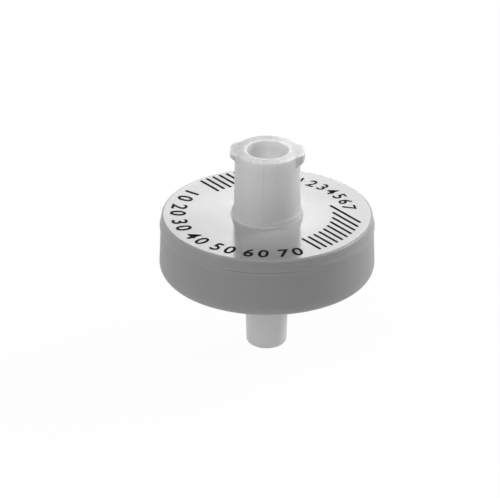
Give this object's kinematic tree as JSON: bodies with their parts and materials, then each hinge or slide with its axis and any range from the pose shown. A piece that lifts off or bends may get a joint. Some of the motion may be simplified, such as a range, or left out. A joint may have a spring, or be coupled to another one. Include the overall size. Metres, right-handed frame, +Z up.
{
  "type": "syringe filter",
  "caption": "Disposable disc filter for a syringe: luer-lock inlet tube with two lugs, welded round body and a tapered luer outlet tip.",
  "frame": {"origin": "centre of the outlet tip's flat end, on which the filter stands", "axes": "+Z up along the shared axis of both luer fittings, towards the inlet; the two thread lugs lie 1 degree clockwise of the X axis, seen from above"},
  "size_m": [0.0216, 0.0216, 0.0214],
  "materials": {
    "housing_plastic": "satin",
    "membrane_film": "matte",
    "printing_ink": "matte"
  },
  "bodies": {
    "root": {"inlet_housing": "housing_plastic", "membrane": "membrane_film", "outlet_housing": "housing_plastic"}
  },
  "joints": []
}
